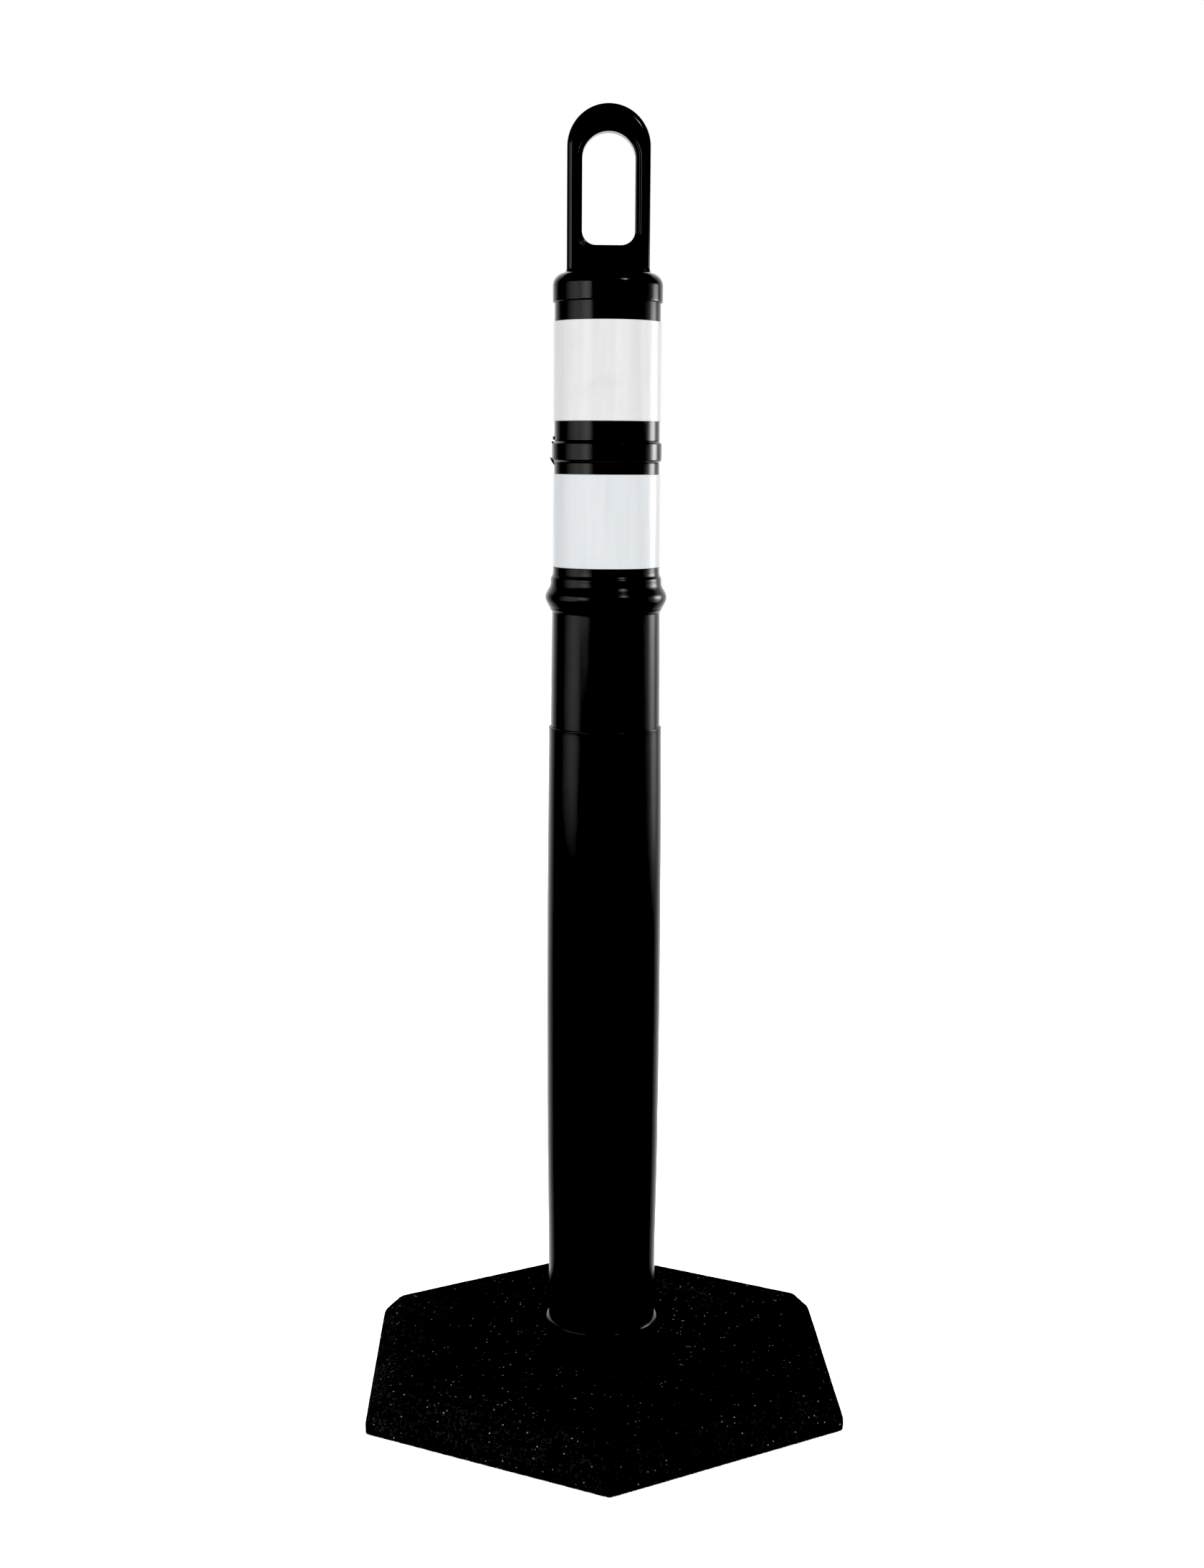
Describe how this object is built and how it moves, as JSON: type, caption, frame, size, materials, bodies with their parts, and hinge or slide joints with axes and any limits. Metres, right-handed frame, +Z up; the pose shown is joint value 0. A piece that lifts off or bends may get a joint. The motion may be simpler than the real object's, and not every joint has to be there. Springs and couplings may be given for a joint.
{
  "type": "delineator post",
  "caption": "Loop-top roadside delineator post of jointed plastic tubes with reflective bands, standing in a drop-over hexagonal rubber base.",
  "frame": {"origin": "centre of the underside of the base, on the post's axis, at floor level", "axes": "+Z up along the post; the hand loop lies in the XZ plane; two corners of the hexagonal base lie on the Y axis"},
  "size_m": [0.421, 0.4844, 1.143],
  "materials": {
    "crumb_rubber": "rough moulded recycled crumb rubber with fine pale specks",
    "gloss_black_plastic": "glossy black moulded polyethylene",
    "black_plastic": "semi-gloss black blow-moulded polyethylene",
    "band_sleeve": "white vinyl backing sleeve",
    "white_reflective_sheet": "white retroreflective sheeting, smooth clear face",
    "black_rivet": "black painted aluminium"
  },
  "bodies": {
    "post": {"foot_socket": "gloss_black_plastic", "lower_tube": "black_plastic", "upper_tube": "black_plastic", "handle_cap": "gloss_black_plastic", "upper_band_sleeve": "band_sleeve", "upper_reflective_sheet": "white_reflective_sheet", "lower_band_sleeve": "band_sleeve", "lower_reflective_sheet": "white_reflective_sheet", "cap_rivets": "black_rivet", "joint_rivets": "black_rivet", "foot_rivets": "black_rivet"},
    "base": {"rubber_base": "crumb_rubber"}
  },
  "joints": [
    {"name": "base_slide", "type": "slide", "parent": "post", "child": "base", "axis": [0, 0, 1], "range_m": [0, 1.16]}
  ]
}
